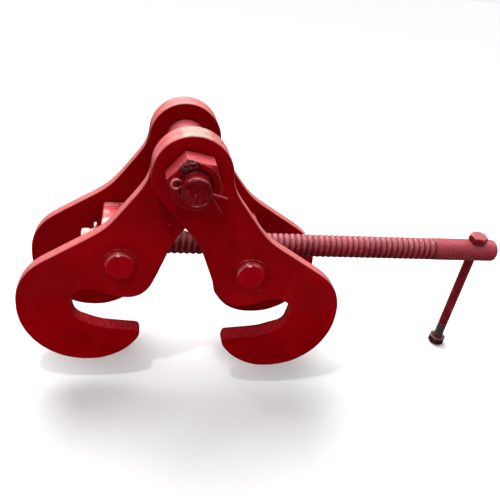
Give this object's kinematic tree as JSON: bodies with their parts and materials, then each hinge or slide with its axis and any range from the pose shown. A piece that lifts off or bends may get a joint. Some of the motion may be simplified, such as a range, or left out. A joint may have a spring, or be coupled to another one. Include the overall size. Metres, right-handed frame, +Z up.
{
  "type": "beam clamp",
  "caption": "Adjustable scissor beam clamp: hooked plate jaws hinge on a load bolt with a load sleeve, opened by a screw spindle with a sliding tommy bar.",
  "frame": {"origin": "centre of the load bolt's front end face, so the jaws' hinge axis is the Y axis", "axes": "+X towards the handle end of the spindle, +Y to the rear along the load bolt, +Z up with the hooks hanging down"},
  "size_m": [0.482, 0.1707, 0.2588],
  "materials": {
    "jaw_enamel": "glossy crimson enamel, worn pale on the rounded top",
    "block_enamel": "glossy crimson enamel",
    "bolt_enamel": "glossy crimson enamel with paint lumps",
    "nut_enamel": "glossy crimson enamel",
    "pin_enamel": "enamel over wire",
    "sleeve_enamel": "satin crimson enamel",
    "spindle_enamel": "satin red enamel, rubbed and dirty in the thread",
    "bar_enamel": "satin red enamel, bare dark thread at the end",
    "bar_nut_enamel": "old dark red-brown enamel, rubbed at the corners"
  },
  "bodies": {
    "load_bolt_group": {"load_bolt": "bolt_enamel", "load_bolt_nut": "nut_enamel", "load_bolt_split_pin": "pin_enamel"},
    "sleeve": {"load_sleeve": "sleeve_enamel"},
    "right_jaw": {"right_jaw_front_plate": "jaw_enamel", "right_jaw_rear_plate": "jaw_enamel"},
    "left_jaw": {"left_jaw_front_plate": "jaw_enamel", "left_jaw_rear_plate": "jaw_enamel"},
    "right_trunnion": {"right_trunnion_nut": "block_enamel"},
    "left_trunnion": {"left_trunnion_block": "block_enamel"},
    "spindle_group": {"spindle": "spindle_enamel", "spindle_split_pin": "pin_enamel"},
    "tommy_bar_group": {"tommy_bar": "bar_enamel", "tommy_bar_nut": "bar_nut_enamel"}
  },
  "joints": [
    {"name": "right_jaw_swing", "type": "hinge", "parent": "load_bolt_group", "child": "right_jaw", "pos_m": [0, 0.094, 0], "axis": [0, -1, 0], "range_deg": [-11.5, 20]},
    {"name": "left_jaw_swing", "type": "hinge", "parent": "load_bolt_group", "child": "left_jaw", "pos_m": [0, 0.094, 0], "axis": [0, 1, 0], "range_deg": [-11.5, 20]},
    {"name": "right_trunnion_turn", "type": "hinge", "parent": "right_jaw", "child": "right_trunnion", "pos_m": [0.0575, 0.094, -0.0925], "axis": [0, 1, 0], "range_deg": [-11.5, 20]},
    {"name": "left_trunnion_turn", "type": "hinge", "parent": "left_jaw", "child": "left_trunnion", "pos_m": [-0.0575, 0.094, -0.0925], "axis": [0, -1, 0], "range_deg": [-11.5, 20]},
    {"name": "spindle_turn", "type": "hinge", "parent": "left_trunnion", "child": "spindle_group", "pos_m": [-0.0575, 0.094, -0.0925], "axis": [-1, 0, 0], "range_deg": [-2090, 3636]},
    {"name": "tommy_bar_slide", "type": "slide", "parent": "spindle_group", "child": "tommy_bar_group", "axis": [0, -0.1089, 0.9941], "range_m": [0, 0.1115]},
    {"name": "sleeve_roll", "type": "hinge", "parent": "load_bolt_group", "child": "sleeve", "pos_m": [0, 0.094, 0], "axis": [0, 1, 0], "continuous": true}
  ],
  "couplings": [
    {"joint": "right_jaw_swing", "follows": "spindle_turn", "ratio": 0.0055},
    {"joint": "left_jaw_swing", "follows": "spindle_turn", "ratio": 0.0055},
    {"joint": "right_trunnion_turn", "follows": "spindle_turn", "ratio": 0.0055},
    {"joint": "left_trunnion_turn", "follows": "spindle_turn", "ratio": 0.0055}
  ]
}
